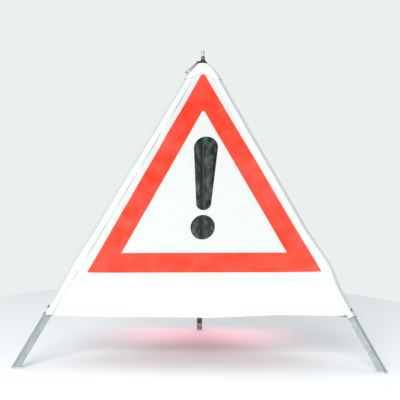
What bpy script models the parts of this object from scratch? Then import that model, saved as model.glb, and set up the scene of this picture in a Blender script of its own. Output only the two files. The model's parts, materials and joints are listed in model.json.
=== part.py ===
"""Folding three-sided warning sign: a fabric pyramid on an umbrella frame of three channel legs.

Metres, +Z up. The origin is on the floor under the middle of the sign's outer box, and the front
face looks along -Y. The frame stands fully spread. Each leg hangs on a pin in the head, three struts
join the legs to a spreader on the central rod, and pulling the rod up draws the legs together.
The pieces are modelled round the rod's centre line, and the last step moves them to the origin.
"""
from math import asin, atan, cos, pi, radians, sin, sqrt, tan

import bmesh
import bpy
from mathutils import Euler, Matrix, Vector

# ---------------------------------------------------------------- driving dimensions
LEG_SLOPE = 0.64                # run over rise of a spread leg
LEG_TILT = atan(LEG_SLOPE)
PIN_R = 0.042                   # leg pivots: distance from the centre line, and height
PIN_Z = 0.890
LEG_AZIMUTH = {"front_left": radians(210), "front_right": radians(330), "rear": radians(90)}
FACE_TURN = {"front": 0.0, "right": radians(120), "left": radians(240)}
THIRTY = radians(30)            # between a leg's upright plane and the level line along a face

GAP = 0.0003                    # between pieces that touch
RUN = 0.0003                    # radial clearance of a pin in its hole
FAR = 1.0                       # past any piece: the reach of a cutter that trims everything

# leg channel, open towards the centre line
WEB = 0.020
DEPTH_OUT = 0.009               # from the pivot line to the outer face
DEPTH_IN = 0.008
WALL = 0.0015
WEB_TOP = 0.012                 # the web stops this far below the pivot
WEB_SHOULDER = 0.001            # the flanges' straight edge stops this far below the pivot
LEG_SPARE = 0.02                # modelled past the floor, then trimmed level
PIN_SHANK = 0.0025
PIN_HEAD = 0.0045
PIN_HEAD_HEIGHT = 0.0014

# foot
FOOT_PLATE = 0.0055
FOOT_TOE = 0.010                # the plate runs this far inside the leg
FOOT_SET_BACK = 0.0015          # and stops this far short of the leg's outer face
PLUG_UP = 0.034                 # the plug's reach up the channel
PLUG_DOWN = 0.004
PLUG_BACK = 0.001               # set in from the flanges' edges
FOOT_OUTER = PIN_R + DEPTH_OUT / cos(LEG_TILT) + PIN_Z * LEG_SLOPE - FOOT_SET_BACK

# struts and spreader: the linkage is worked out in strut_angle()
STRUT_AT = 0.300                # from the leg pivot down the leg
STRUT_IN = 0.003                # the strut pivot is this far inside the pivot line
STRUT_LENGTH = 0.235
STRUT_DEPTH = 0.0130
STRUT_THICK = 0.0040
STRUT_PIN = 0.0023
STRUT_PIN_HEAD = 0.0038
STRUT_PIN_HEAD_HEIGHT = 0.0012
STRUT_SPACER = 0.0040           # radius of the pin's shoulders beside the strut
SLOT_PLAY = 0.0009              # radial clearance of the spreader pin in the strut's slot
SLOT_RUN = (-0.0064, 0.00245)   # how far the spreader pin may run in that slot
SPREADER_R = 0.018              # strut pivots on the spreader
SPREADER_PIN = 0.0018
SPREADER_PIN_HEAD = 0.0030
SPREADER_PIN_HEAD_HEIGHT = 0.0010
BOSS_R = 0.0103                 # the spreader's hub, below its pivots
BOSS_TOP = -0.002
BOSS_BOTTOM = -0.011
BOSS_BEVEL_IN = 0.0023          # its upper edge is cut back, so that the struts' ends pass as they fold
BOSS_BEVEL_DOWN = 0.0042
EAR_THICK = 0.0025
EAR_END = 0.0058                # radius of an ear round its pivot
EAR_ROOT = 0.0075               # the ears start this far from the centre line
EAR_FLAT = 0.0200

# central rod, and what is fixed on it
ROD_R = 0.004
ROD_BORE = 0.0043
ROD_TOP = 0.975
ROD_END_BEVEL = 0.0008
ROD_BELOW_HUB = 0.0095
KNOB_R = 0.0052
KNOB_HEIGHT = 0.0062
COLLAR_R = 0.0064
COLLAR_TOP_R = 0.0052
COLLAR_HEIGHT = 0.0120
COLLAR_RIM = 0.0020
SHOULDER_R = 0.0058
SHOULDER_HEIGHT = 0.005
NUT_R = 0.0075
NUT_HEIGHT = 0.0065

# head hub and cap
HUB_R = 0.017
HUB_WAIST = 0.880               # the hub narrows below this height
HUB_FOOT_R = 0.012
HUB_BOTTOM = 0.862
HUB_TOP = 0.9305
TONGUE = 0.012                  # thickness of the tongue that carries a leg
TONGUE_END = 0.0065
ARM_ROOT = 0.0105               # tongues and the loop's lug start inside the hub or cap here
CAP_R = 0.016
CAP_TOP = 0.944
CAP_TOP_R = 0.0075
CAP_SEAT = 0.0005               # above the hub
CAP_RIM = 0.0025
CAP_BORE = 0.0048

# carrying loop
LOOP_PIVOT = (0.0195, 0.9358)   # distance from the centre line, height
LOOP_WIRE = 0.0013
LOOP_PLAY = 0.00075
LOOP_DROP = radians(42)
LOOP_SMALL_R = 0.0045
LOOP_LARGE_R = 0.011
LOOP_LENGTH = 0.057
LUG_END = 0.0032
LUG_HALF = 0.002

# cover
CLOTH = 0.0015
SLEEVE_FIT = 0.0003
SLEEVE_GRIP = 0.002             # the sleeve's sides reach in to here on the flanges
SLEEVE_TOP = 0.014              # from the pivot down the leg
SLEEVE_BOTTOM = 0.876
CORNER_OUT = DEPTH_OUT + SLEEVE_FIT + CLOTH     # sleeve's outer corner in a leg's frame
CORNER_SIDE = WEB / 2 + SLEEVE_FIT + CLOTH
RIVET_AT = 0.856
RIVET_HOLE = 0.0028
RIVET_SHANK = 0.0025
COVER_TOP = 0.8915
COVER_BOTTOM = 0.152
FACE_LEAN = atan(LEG_SLOPE / 2)
SKIRT_TOP = 0.2525
SKIRT_BOTTOM = 0.1505
SKIRT_INSET_TOP = 0.012         # from the cover's side edge
SKIRT_INSET_BOTTOM = 0.028
SKIRT_CORNER = 0.020
CROWN_BOTTOM = 0.8932
CROWN_TOP_R = 0.0206
CROWN_LOW_R = 0.0545
CROWN_EASE = 0.0007             # wider than the sleeves at its lower corners

# The feet's outer box runs further back than forward, so its middle is behind the centre line.
BACK = FOOT_OUTER
FRONT = FOOT_OUTER / 2 + WEB / 2 * cos(THIRTY)
CENTRE_LINE = (0.0, (FRONT - BACK) / 2, 0.0)

# ---------------------------------------------------------------- collections and materials
for old in list(bpy.data.objects):
    bpy.data.objects.remove(old, do_unlink=True)


def collection(name):
    made = bpy.data.collections.new(name)
    bpy.context.scene.collection.children.link(made)
    return made


PARTS = collection("warning_triangle")
CUTTERS = collection("cutters")


def material(name, color, roughness, metallic=0.0):
    made = bpy.data.materials.new(name)
    made.use_nodes = True
    shader = made.node_tree.nodes["Principled BSDF"]
    shader.inputs["Base Color"].default_value = (*color, 1.0)
    shader.inputs["Roughness"].default_value = roughness
    shader.inputs["Metallic"].default_value = metallic
    return made


GALVANISED = material("galvanised_steel", (0.50, 0.55, 0.56), 0.45, 0.9)
STEEL = material("bright_steel", (0.62, 0.63, 0.64), 0.30, 1.0)
DARK_STEEL = material("dark_steel", (0.04, 0.045, 0.05), 0.45, 0.8)
CAST = material("cast_alloy", (0.42, 0.43, 0.44), 0.50, 0.9)
BLACK_PLASTIC = material("black_plastic", (0.015, 0.017, 0.018), 0.40)
GREY_PLASTIC = material("grey_plastic", (0.36, 0.42, 0.42), 0.55)
WHITE_CLOTH = material("white_coated_fabric", (0.86, 0.89, 0.87), 0.50)
BRIGHT_CLOTH = material("bright_white_fabric", (0.95, 0.95, 0.95), 0.45)


# ---------------------------------------------------------------- modelling helpers
def add(name, mesh_or_curve, surface, place=None):
    """Links a new object. place is its world matrix."""
    made = bpy.data.objects.new(name, mesh_or_curve)
    PARTS.objects.link(made)
    if surface is not None:
        made.data.materials.append(surface)
    if place is not None:
        made.matrix_world = place
    return made


def mesh_from(bm, name):
    made = bpy.data.meshes.new(name)
    bm.normal_update()
    bm.to_mesh(made)
    bm.free()
    return made


def box(low, high):
    """Mesh of a box between two corners."""
    bm = bmesh.new()
    size = [h - l for l, h in zip(low, high)]
    centre = [(h + l) / 2 for l, h in zip(low, high)]
    bmesh.ops.create_cube(bm, size=1.0, matrix=Matrix.LocRotScale(centre, None, size))
    return mesh_from(bm, "box")


def cylinder(radius, low, high, axis="Z", centre=(0.0, 0.0, 0.0), segments=32):
    """Mesh of a cylinder along axis, from low to high beside centre."""
    bm = bmesh.new()
    turn = {"X": Euler((0, pi / 2, 0)), "Y": Euler((-pi / 2, 0, 0)), "Z": Euler((0, 0, 0))}[axis]
    along = {"X": Vector((1, 0, 0)), "Y": Vector((0, 1, 0)), "Z": Vector((0, 0, 1))}[axis]
    middle = Vector(centre) + along * ((low + high) / 2)
    bmesh.ops.create_cone(bm, cap_ends=True, segments=segments, radius1=radius, radius2=radius,
                          depth=high - low, matrix=Matrix.LocRotScale(middle, turn, None))
    return mesh_from(bm, "cylinder")


def prism(outline, low, high):
    """Mesh of an outline in the local XZ plane, from low to high along Y."""
    flat = flat_curve("prism", [outline], high - low)
    temporary = bpy.data.objects.new("prism", flat)
    bpy.context.scene.collection.objects.link(temporary)
    bpy.context.view_layer.update()
    graph = bpy.context.evaluated_depsgraph_get()
    made = bpy.data.meshes.new_from_object(temporary.evaluated_get(graph))
    bpy.data.objects.remove(temporary, do_unlink=True)
    bm = bmesh.new()
    bm.from_mesh(made)
    bmesh.ops.remove_doubles(bm, verts=bm.verts, dist=0.00001)
    bm.transform(Matrix.Translation((0, (low + high) / 2, 0)) @ Matrix.Rotation(pi / 2, 4, "X"))
    bm.to_mesh(made)
    bm.free()
    return made


def change(target, mesh, operation, place=None):
    """Adds a Boolean with a tool object that stays out of the model."""
    tool = bpy.data.objects.new(f"{target.name}_{operation.lower()}", mesh)
    CUTTERS.objects.link(tool)
    tool.matrix_world = target.matrix_world.copy() if place is None else place
    tool.hide_render = True
    tool.display_type = "WIRE"
    modifier = target.modifiers.new(operation.lower(), "BOOLEAN")
    modifier.operation = operation
    modifier.object = tool


def cut(target, mesh, place=None):
    change(target, mesh, "DIFFERENCE", place)


def join(target, mesh, place=None):
    change(target, mesh, "UNION", place)


def turned(name, profile, surface, place, steps=32, ring=False):
    """A profile of (radius, height) points, listed down its outer side, turned about local Z."""
    bm = bmesh.new()
    points = [bm.verts.new((r, 0.0, z)) for r, z in profile]
    for a, b in zip(points, points[1:]):
        bm.edges.new((a, b))
    if ring:
        bm.edges.new((points[-1], points[0]))
    made = add(name, mesh_from(bm, name), surface, place)
    screw = made.modifiers.new("turn", "SCREW")
    screw.axis = "Z"
    screw.steps = steps
    screw.render_steps = steps
    screw.use_merge_vertices = True
    screw.merge_threshold = 0.00005
    weld = made.modifiers.new("weld", "WELD")
    weld.merge_threshold = 0.00002
    return made


def arc(centre, radius, start, end, steps):
    """Points of a circular arc, both ends included. Angles in radians."""
    return [(centre[0] + radius * cos(start + (end - start) * k / steps),
             centre[1] + radius * sin(start + (end - start) * k / steps)) for k in range(steps + 1)]


def flat_curve(name, loops, thickness):
    """A filled 2D curve: the first loop is the outline and the others are holes."""
    curve = bpy.data.curves.new(name, "CURVE")
    curve.dimensions = "2D"
    curve.fill_mode = "BOTH"
    curve.extrude = thickness / 2
    for points in loops:
        spline = curve.splines.new("POLY")
        spline.points.add(len(points) - 1)
        for point, (x, y) in zip(spline.points, points):
            point.co = (x, y, 0.0, 1.0)
        spline.use_cyclic_u = True
    return curve


def plate(name, outline, holes, thickness, surface, place):
    """A flat piece in its local XY plane, thickness along local Z."""
    made = add(name, flat_curve(name, [outline, *holes], thickness), surface, place)
    weld = made.modifiers.new("weld", "WELD")
    weld.merge_threshold = 0.00002
    return made


def radial_frame(azimuth, radius=0.0, height=0.0):
    """Local X points away from the centre line, local Y round it, local Z up."""
    centre = (radius * cos(azimuth), radius * sin(azimuth), height)
    return Matrix.LocRotScale(centre, Euler((0, 0, azimuth)), None)


def leg_frame(azimuth):
    """Local X is the leg's outward normal, local Y goes across it and local Z up along it."""
    centre = (PIN_R * cos(azimuth), PIN_R * sin(azimuth), PIN_Z)
    return Matrix.LocRotScale(centre, Euler((0, -LEG_TILT, azimuth)), None)


ALONG_Y = Matrix.Rotation(-pi / 2, 4, "X")   # turns a profile's axis from Z to Y
ALONG_X = Matrix.Rotation(pi / 2, 4, "Y")


def rivet_profile(shank, head, reach_low, reach_high, head_height, shoulder=None):
    """A shank between two flat-topped heads. shoulder is (radius, from, to), on both sides."""
    low = [(shank, reach_low), (head, reach_low), (head * 0.8, reach_low - head_height),
           (0.0, reach_low - head_height)]
    high = [(0.0, reach_high + head_height), (head * 0.8, reach_high + head_height),
            (head, reach_high), (shank, reach_high)]
    middle = []
    if shoulder:
        radius, near, far = shoulder
        middle = [(shank, far), (radius, far), (radius, near), (shank, near),
                  (shank, -near), (radius, -near), (radius, -far), (shank, -far)]
    return high + middle + low


# ---------------------------------------------------------------- linkage
def strut_pivot(tilt):
    """The strut's pivot on a leg at this tilt: distance from the centre line, and height."""
    across = STRUT_AT * sin(tilt) - STRUT_IN * cos(tilt)
    down = STRUT_AT * cos(tilt) + STRUT_IN * sin(tilt)
    return PIN_R + across, PIN_Z - down


def strut_angle(tilt):
    """How steeply the strut climbs from the leg to the spreader, in radians."""
    reach = strut_pivot(tilt)[0] - SPREADER_R
    return asin(sqrt(STRUT_LENGTH ** 2 - reach ** 2) / STRUT_LENGTH)


def spreader_height(tilt):
    return strut_pivot(tilt)[1] + STRUT_LENGTH * sin(strut_angle(tilt))


SPREADER_Z = spreader_height(LEG_TILT)


# ---------------------------------------------------------------- head
def make_head_hub():
    profile = [(ROD_BORE, HUB_TOP), (HUB_R, HUB_TOP), (HUB_R, HUB_WAIST), (HUB_FOOT_R, HUB_BOTTOM),
               (ROD_BORE, HUB_BOTTOM)]
    hub = turned("head_hub", profile, CAST, Matrix.Identity(4), 48, ring=True)
    round_end = arc((PIN_R, 0), TONGUE_END, -pi / 2, pi / 2, 12)
    outline = [(ARM_ROOT, TONGUE_END), (ARM_ROOT, -TONGUE_END), *round_end]
    for azimuth in LEG_AZIMUTH.values():
        join(hub, prism(outline, -TONGUE / 2, TONGUE / 2), radial_frame(azimuth, 0.0, PIN_Z))
    for azimuth in LEG_AZIMUTH.values():
        hole = cylinder(PIN_SHANK + RUN, -TONGUE, TONGUE, "Y", (PIN_R, 0, 0))
        cut(hub, hole, radial_frame(azimuth, 0.0, PIN_Z))


def make_leg_hinge_pin(side, azimuth):
    reach = WEB / 2 + GAP
    profile = rivet_profile(PIN_SHANK, PIN_HEAD, -reach, reach, PIN_HEAD_HEIGHT)
    turned(f"leg_hinge_pin_{side}", profile, STEEL, leg_frame(azimuth) @ ALONG_Y, 24)


def make_top_cap():
    bottom = HUB_TOP + CAP_SEAT
    profile = [(CAP_BORE, CAP_TOP), (CAP_TOP_R, CAP_TOP), (CAP_R, bottom + CAP_RIM), (CAP_R, bottom),
               (CAP_BORE, bottom)]
    cap = turned("top_cap", profile, BLACK_PLASTIC, Matrix.Identity(4), 48, ring=True)
    arm = radial_frame(LEG_AZIMUTH["front_left"])
    pivot_r, pivot_z = LOOP_PIVOT
    round_end = arc(LOOP_PIVOT, LUG_END, -pi / 2, pi / 2, 10)
    lug = [(ARM_ROOT, pivot_z + LUG_END), (ARM_ROOT, pivot_z - LUG_END), *round_end]
    join(cap, prism(lug, -LUG_HALF, LUG_HALF), arm)
    hole = cylinder(LOOP_WIRE + LOOP_PLAY, -2 * LUG_HALF, 2 * LUG_HALF, "Y", (pivot_r, 0, pivot_z), 24)
    cut(cap, hole, arm)


def make_carry_loop():
    """A teardrop of wire, from its pivot in the cap's lug to its wide end."""
    small_x = LOOP_SMALL_R
    large_x = LOOP_LENGTH - LOOP_LARGE_R
    spread = asin((LOOP_LARGE_R - LOOP_SMALL_R) / (large_x - small_x))
    points = arc((large_x, 0), LOOP_LARGE_R, -pi / 2 - spread, pi / 2 + spread, 16)
    points += arc((small_x, 0), LOOP_SMALL_R, pi / 2 + spread, 3 * pi / 2 - spread, 10)
    curve = bpy.data.curves.new("carry_loop", "CURVE")
    curve.dimensions = "3D"
    curve.bevel_depth = LOOP_WIRE
    curve.bevel_resolution = 2
    spline = curve.splines.new("POLY")
    spline.points.add(len(points) - 1)
    for point, (x, y) in zip(spline.points, points):
        point.co = (x, y, 0.0, 1.0)
    spline.use_cyclic_u = True
    pivot = radial_frame(LEG_AZIMUTH["front_left"], *LOOP_PIVOT)
    add("carry_loop", curve, STEEL, pivot @ Matrix.Rotation(LOOP_DROP, 4, "Y"))


# ---------------------------------------------------------------- legs
def make_leg(side, azimuth):
    length = PIN_Z / cos(LEG_TILT) + LEG_SPARE
    half = WEB / 2
    inside = half - WALL
    round_top = arc((0, 0), DEPTH_IN, 0, pi, 16)
    outline = [(-DEPTH_IN, -length), (DEPTH_OUT, -length), (DEPTH_OUT, -WEB_SHOULDER), *round_top]
    leg = add(f"leg_{side}", prism(outline, -half, half), GALVANISED, leg_frame(azimuth))
    cut(leg, box((-FAR, -inside, -2 * FAR), (DEPTH_OUT - WALL, inside, FAR)))
    cut(leg, box((DEPTH_OUT - WALL - 0.0005, -WEB, -WEB_TOP), (FAR, WEB, FAR)))
    cut(leg, cylinder(PIN_SHANK + RUN, -WEB, WEB, "Y"))
    cut(leg, cylinder(STRUT_PIN + RUN, -WEB, WEB, "Y", (-STRUT_IN, 0, -STRUT_AT)))
    cut(leg, cylinder(RIVET_HOLE, 0.0, WEB, "X", (0, 0, -RIVET_AT), 24))
    cut(leg, box((0.0, -FAR, -FAR), (FAR, FAR, FOOT_PLATE + GAP)), radial_frame(azimuth))


def make_foot(side, azimuth):
    """A plug in the channel's end, with a level plate under it."""
    floor_at = PIN_Z / cos(LEG_TILT)
    half = WEB / 2
    plug = box((-DEPTH_IN + PLUG_BACK, -half + WALL + GAP, -floor_at - PLUG_DOWN),
               (DEPTH_OUT - WALL - GAP, half - WALL - GAP, -floor_at + PLUG_UP))
    foot = add(f"foot_{side}", plug, GREY_PLASTIC, leg_frame(azimuth))
    floor = radial_frame(azimuth)
    cut(foot, box((0.0, -FAR, -FAR), (FAR, FAR, FOOT_PLATE - 2 * WALL)), floor)
    inner = FOOT_OUTER + FOOT_SET_BACK - (DEPTH_OUT + DEPTH_IN) / cos(LEG_TILT) - FOOT_TOE
    join(foot, box((inner, -half, 0.0), (FOOT_OUTER, half, FOOT_PLATE)), floor)


def make_strut_pin(side, azimuth):
    reach = WEB / 2 + GAP
    spacer = (STRUT_SPACER, STRUT_THICK / 2 + GAP, WEB / 2 - WALL - GAP)
    profile = rivet_profile(STRUT_PIN, STRUT_PIN_HEAD, -reach, reach, STRUT_PIN_HEAD_HEIGHT, spacer)
    place = leg_frame(azimuth) @ Matrix.Translation((-STRUT_IN, 0, -STRUT_AT)) @ ALONG_Y
    turned(f"strut_pin_{side}", profile, STEEL, place, 24)


def make_strut(side, azimuth):
    """A flat bar. Its spreader end has a slot, where the closed linkage is left open."""
    half = STRUT_DEPTH / 2
    outline = arc((0, 0), half, pi / 2, 3 * pi / 2, 12)
    outline += arc((STRUT_LENGTH, 0), half, -pi / 2, pi / 2, 12)
    eye = arc((0, 0), STRUT_PIN + RUN, 0, 2 * pi, 24)[:-1]
    slot_r = SPREADER_PIN + SLOT_PLAY
    lean = atan(-SLOT_RUN[1] / SLOT_RUN[0])
    near = (STRUT_LENGTH, 0.0)
    far = (STRUT_LENGTH + SLOT_RUN[0], SLOT_RUN[1])
    slot = arc(near, slot_r, -pi / 2 - lean, pi / 2 - lean, 10)
    slot += arc(far, slot_r, pi / 2 - lean, 3 * pi / 2 - lean, 10)
    hinge = radial_frame(azimuth, *strut_pivot(LEG_TILT))
    upright = Matrix.Rotation(-pi / 2, 4, "X")
    climb = Matrix.Rotation(pi + strut_angle(LEG_TILT), 4, "Z")
    plate(f"strut_{side}", outline, [eye, slot], STRUT_THICK, GALVANISED, hinge @ upright @ climb)


# ---------------------------------------------------------------- spreader and central rod
AT_SPREADER = Matrix.Translation((0, 0, SPREADER_Z))
EAR_IN = STRUT_THICK / 2 + GAP
EAR_OUT = EAR_IN + EAR_THICK


def make_spreader_hub():
    profile = [(ROD_BORE, BOSS_TOP), (BOSS_R - BOSS_BEVEL_IN, BOSS_TOP), (BOSS_R, BOSS_TOP - BOSS_BEVEL_DOWN),
               (BOSS_R, BOSS_BOTTOM), (ROD_BORE, BOSS_BOTTOM)]
    spreader = turned("spreader_hub", profile, CAST, AT_SPREADER, 40, ring=True)
    ear_low = BOSS_BOTTOM + 0.001
    round_end = arc((SPREADER_R, 0), EAR_END, radians(-60), pi, 14)
    ear = [(EAR_ROOT, 0.0), (EAR_ROOT, ear_low), (EAR_FLAT, ear_low), *round_end]
    for azimuth in LEG_AZIMUTH.values():
        arm = radial_frame(azimuth, 0.0, SPREADER_Z)
        join(spreader, prism(ear, EAR_IN, EAR_OUT), arm)
        join(spreader, prism(ear, -EAR_OUT, -EAR_IN), arm)
    for azimuth in LEG_AZIMUTH.values():
        hole = cylinder(SPREADER_PIN + RUN, -2 * EAR_OUT, 2 * EAR_OUT, "Y", (SPREADER_R, 0, 0), 24)
        cut(spreader, hole, radial_frame(azimuth, 0.0, SPREADER_Z))


def make_spreader_pin(side, azimuth):
    reach = EAR_OUT + GAP
    profile = rivet_profile(SPREADER_PIN, SPREADER_PIN_HEAD, -reach, reach, SPREADER_PIN_HEAD_HEIGHT)
    place = radial_frame(azimuth, SPREADER_R, SPREADER_Z) @ ALONG_Y
    turned(f"spreader_pin_{side}", profile, STEEL, place, 24)


def make_central_rod():
    top = ROD_TOP - KNOB_HEIGHT
    bottom = SPREADER_Z + BOSS_BOTTOM - ROD_BELOW_HUB
    profile = [(0.0, top), (ROD_R, top), (ROD_R, bottom + ROD_END_BEVEL), (ROD_R - ROD_END_BEVEL, bottom),
               (0.0, bottom)]
    turned("central_rod", profile, STEEL, Matrix.Identity(4), 32)


def make_rod_head():
    low = ROD_TOP - KNOB_HEIGHT + GAP
    profile = [(0.0, ROD_TOP), (KNOB_R - 0.0010, ROD_TOP), (KNOB_R, ROD_TOP - 0.0012),
               (KNOB_R, low + 0.0008), (KNOB_R - 0.0008, low), (0.0, low)]
    turned("rod_head", profile, STEEL, Matrix.Identity(4), 32)


def make_rod_stop_collar():
    """Rests on the cap when the frame is spread, and so holds the spreader up."""
    low = CAP_TOP + GAP
    top = low + COLLAR_HEIGHT
    profile = [(ROD_BORE, top), (COLLAR_TOP_R, top), (COLLAR_R, low + COLLAR_RIM), (COLLAR_R, low),
               (ROD_BORE, low)]
    turned("rod_stop_collar", profile, STEEL, Matrix.Identity(4), 32, ring=True)


def make_spreader_collar():
    low = BOSS_TOP + GAP
    top = low + SHOULDER_HEIGHT
    profile = [(ROD_BORE, top), (SHOULDER_R, top), (SHOULDER_R, low), (ROD_BORE, low)]
    turned("spreader_collar", profile, STEEL, AT_SPREADER, 32, ring=True)


def make_rod_nut():
    top = BOSS_BOTTOM - GAP
    nut = add("rod_nut", cylinder(NUT_R, top - NUT_HEIGHT, top, segments=6), STEEL, AT_SPREADER)
    cut(nut, cylinder(ROD_BORE, top - 2 * NUT_HEIGHT, top + NUT_HEIGHT))


# ---------------------------------------------------------------- cover
def corner_radius(height):
    """Distance of the sleeves' outer face from the centre line, at a height."""
    return PIN_R + CORNER_OUT / cos(LEG_TILT) + (PIN_Z - height) * LEG_SLOPE


def face_distance(height):
    """Distance of a cover face's inner side from the centre line, measured level."""
    return corner_radius(height) / 2 + (CORNER_SIDE + GAP) * cos(THIRTY)


def face_half_width(height):
    return corner_radius(height) * cos(THIRTY) - CORNER_SIDE / 2


def face_frame(turn, lift):
    """Local X runs level along a face, Y up its slope from the floor, and Z away from the face."""
    foot = Matrix.Translation((0, -face_distance(0.0), 0))
    lean = Matrix.Rotation(pi / 2 - FACE_LEAN, 4, "X")
    raised = Matrix.Translation((0, 0, lift))
    return Matrix.Rotation(turn, 4, "Z") @ foot @ lean @ raised


def make_cover(face, turn):
    low = COVER_BOTTOM / cos(FACE_LEAN)
    high = COVER_TOP / cos(FACE_LEAN)
    wide = face_half_width(COVER_BOTTOM)
    narrow = face_half_width(COVER_TOP)
    outline = [(-wide, low), (wide, low), (narrow, high), (-narrow, high)]
    plate(f"cover_{face}", outline, [], CLOTH, WHITE_CLOTH, face_frame(turn, CLOTH / 2))


def make_skirt(face, turn):
    """The bright band along the hem, a second layer on the cover, with rounded upper corners."""
    low = SKIRT_BOTTOM / cos(FACE_LEAN)
    high = SKIRT_TOP / cos(FACE_LEAN)
    wide = face_half_width(SKIRT_BOTTOM) - SKIRT_INSET_BOTTOM
    narrow = face_half_width(SKIRT_TOP) - SKIRT_INSET_TOP
    slope = atan((wide - narrow) / (high - low))
    back = SKIRT_CORNER * tan((pi / 2 - slope) / 2)
    corner = arc((narrow - back, high - SKIRT_CORNER), SKIRT_CORNER, slope, pi / 2, 6)
    mirrored = [(-x, y) for x, y in reversed(corner)]
    outline = [(wide, low), *corner, *mirrored, (-wide, low)]
    plate(f"skirt_{face}", outline, [], CLOTH, BRIGHT_CLOTH, face_frame(turn, CLOTH * 1.5 + GAP))


def make_sleeve(side, azimuth):
    around = box((SLEEVE_GRIP, -CORNER_SIDE, -SLEEVE_BOTTOM), (CORNER_OUT, CORNER_SIDE, -SLEEVE_TOP))
    sleeve = add(f"leg_sleeve_{side}", around, WHITE_CLOTH, leg_frame(azimuth))
    inner = WEB / 2 + SLEEVE_FIT
    cut(sleeve, box((-FAR, -inner, -FAR), (DEPTH_OUT + SLEEVE_FIT, inner, FAR)))
    cut(sleeve, cylinder(RIVET_HOLE, 0.0, WEB, "X", (0, 0, -RIVET_AT), 24))


def make_cover_rivet(side, azimuth):
    """A round-headed rivet through the sleeve and the leg's web."""
    inside = DEPTH_OUT - WALL - GAP
    outside = CORNER_OUT + GAP
    head = [(0.0, outside + 0.0026), (0.0026, outside + 0.0022), (0.0046, outside + 0.0008),
            (0.0050, outside), (RIVET_SHANK, outside)]
    tail = [(RIVET_SHANK, inside), (0.0042, inside), (0.0036, inside - 0.0016), (0.0, inside - 0.0016)]
    place = leg_frame(azimuth) @ Matrix.Translation((0, 0, -RIVET_AT)) @ ALONG_X
    turned(f"cover_rivet_{side}", head + tail, DARK_STEEL, place, 24)


def make_crown():
    """The cover's closed tip over the leg pivots: a loft from a ring at the cap to the cover's plan."""
    bm = bmesh.new()
    upper, lower = [], []
    for azimuth in sorted(LEG_AZIMUTH.values()):
        for sign in (-1, 1):
            a = azimuth + sign * THIRTY
            upper.append(bm.verts.new((CROWN_TOP_R * cos(a), CROWN_TOP_R * sin(a), HUB_TOP)))
            corner = Vector((CROWN_LOW_R, sign * (CORNER_SIDE + CROWN_EASE), CROWN_BOTTOM))
            lower.append(bm.verts.new(radial_frame(azimuth) @ corner))
    for k in range(6):
        n = (k + 1) % 6
        bm.faces.new((lower[k], lower[n], upper[n], upper[k]))
    crown = add("cover_crown", mesh_from(bm, "cover_crown"), WHITE_CLOTH)
    shell = crown.modifiers.new("shell", "SOLIDIFY")
    shell.thickness = CLOTH
    shell.offset = 1.0
    shell.use_even_offset = True


# ---------------------------------------------------------------- assembly
make_head_hub()
make_top_cap()
make_carry_loop()
make_crown()
make_spreader_hub()
make_central_rod()
make_rod_head()
make_rod_stop_collar()
make_spreader_collar()
make_rod_nut()
for leg_side, leg_azimuth in LEG_AZIMUTH.items():
    make_leg_hinge_pin(leg_side, leg_azimuth)
    make_leg(leg_side, leg_azimuth)
    make_foot(leg_side, leg_azimuth)
    make_strut_pin(leg_side, leg_azimuth)
    make_strut(leg_side, leg_azimuth)
    make_spreader_pin(leg_side, leg_azimuth)
    make_sleeve(leg_side, leg_azimuth)
    make_cover_rivet(leg_side, leg_azimuth)
for face_name, face_turn in FACE_TURN.items():
    make_cover(face_name, face_turn)
    make_skirt(face_name, face_turn)
for piece in [*PARTS.objects, *CUTTERS.objects]:
    piece.matrix_world = Matrix.Translation(CENTRE_LINE) @ piece.matrix_world
for piece in PARTS.objects:
    if piece.type == "MESH":
        piece.data.shade_smooth()
        piece.data.set_sharp_from_angle(angle=radians(35))
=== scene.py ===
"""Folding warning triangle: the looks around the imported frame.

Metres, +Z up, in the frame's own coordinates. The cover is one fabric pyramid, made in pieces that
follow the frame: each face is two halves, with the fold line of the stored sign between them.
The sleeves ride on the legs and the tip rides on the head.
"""
import json
from math import atan, cos, pi, radians, sin

import bpy
import numpy as np
from mathutils import Euler, Matrix, Vector, noise


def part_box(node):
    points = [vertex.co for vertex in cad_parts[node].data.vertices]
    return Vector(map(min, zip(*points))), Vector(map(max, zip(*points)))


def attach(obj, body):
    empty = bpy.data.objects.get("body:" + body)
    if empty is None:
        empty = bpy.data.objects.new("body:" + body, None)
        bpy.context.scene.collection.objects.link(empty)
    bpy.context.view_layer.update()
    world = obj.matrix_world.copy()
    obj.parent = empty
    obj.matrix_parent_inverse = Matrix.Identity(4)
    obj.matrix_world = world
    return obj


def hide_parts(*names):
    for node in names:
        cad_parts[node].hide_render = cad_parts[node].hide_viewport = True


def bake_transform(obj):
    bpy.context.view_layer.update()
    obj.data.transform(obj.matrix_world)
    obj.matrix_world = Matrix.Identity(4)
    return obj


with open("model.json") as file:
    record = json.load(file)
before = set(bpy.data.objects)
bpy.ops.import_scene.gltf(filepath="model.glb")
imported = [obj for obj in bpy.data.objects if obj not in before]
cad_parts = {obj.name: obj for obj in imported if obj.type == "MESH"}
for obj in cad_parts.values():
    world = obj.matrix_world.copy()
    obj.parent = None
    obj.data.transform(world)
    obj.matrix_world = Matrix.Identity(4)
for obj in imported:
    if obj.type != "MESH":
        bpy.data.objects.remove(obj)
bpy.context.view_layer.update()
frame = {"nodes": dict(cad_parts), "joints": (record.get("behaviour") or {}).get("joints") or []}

# ---------------------------------------------------------------- the frame's own dimensions
THIRTY = radians(30)
LEG_SLOPE = 0.64                 # run over rise of a spread leg
LEG_TILT = atan(LEG_SLOPE)
FACE_LEAN = atan(LEG_SLOPE / 2)
UP_SLOPE = 1 / cos(FACE_LEAN)    # distance up a face for each metre of height
LEG_SIDES = ("front_left", "front_right", "rear")
FACE_TURN = {"front": 0.0, "right": radians(120), "left": radians(240)}
FACE_LEGS = {                    # the legs at a face's left and right edge, seen from outside
    "front": ("front_left", "front_right"),
    "right": ("front_right", "rear"),
    "left": ("rear", "front_left"),
}

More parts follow.
